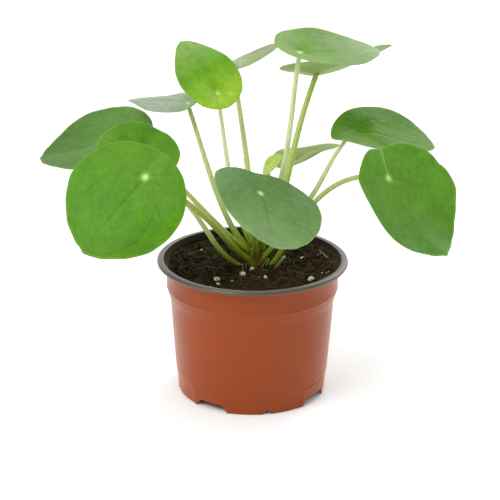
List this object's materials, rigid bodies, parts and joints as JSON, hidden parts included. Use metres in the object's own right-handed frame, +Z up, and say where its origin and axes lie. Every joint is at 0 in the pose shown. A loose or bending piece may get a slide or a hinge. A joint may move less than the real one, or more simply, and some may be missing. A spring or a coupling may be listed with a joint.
{
  "type": "potted plant",
  "caption": "Pilea with round leaves on long stalks, growing from a short stem in a thin brown plastic nursery pot filled with peat.",
  "frame": {"origin": "middle of the outer box of the whole plant in X and Y, on the plane the pot's feet stand on", "axes": "+Z up, -Y towards the front, +X towards the right seen from the front"},
  "size_m": [0.2584, 0.191, 0.2265],
  "materials": {
    "pot_plastic": "satin",
    "peat": "rough",
    "stem": "satin",
    "stalk": "satin",
    "leaf_bright": "satin",
    "leaf_green": "satin",
    "leaf_dusty": "satin",
    "leaf_lime": "satin",
    "leaf_pale": "satin"
  },
  "bodies": {
    "root": {"pot": "pot_plastic", "soil": "peat", "main_stem": "stem", "cut_stalk": "stalk", "leaf_left_front_stalk": "stalk", "leaf_left_front_blade": "leaf_bright", "leaf_left_middle_stalk": "stalk", "leaf_left_middle_blade": "leaf_green", "leaf_left_back_stalk": "stalk", "leaf_left_back_blade": "leaf_green", "leaf_left_upper_stalk": "stalk", "leaf_left_upper_blade": "leaf_pale", "leaf_upper_left_stalk": "stalk", "leaf_upper_left_blade": "leaf_lime", "leaf_upper_back_stalk": "stalk", "leaf_upper_back_blade": "leaf_pale", "leaf_top_stalk": "stalk", "leaf_top_blade": "leaf_pale", "leaf_under_top_stalk": "stalk", "leaf_under_top_blade": "leaf_pale", "leaf_right_upper_stalk": "stalk", "leaf_right_upper_blade": "leaf_green", "leaf_right_front_stalk": "stalk", "leaf_right_front_blade": "leaf_green", "leaf_centre_front_stalk": "stalk", "leaf_centre_front_blade": "leaf_dusty", "leaf_young_stalk": "stalk", "leaf_young_blade": "leaf_lime", "leaf_inner_right_stalk": "stalk", "leaf_inner_right_blade": "leaf_pale"}
  },
  "joints": []
}
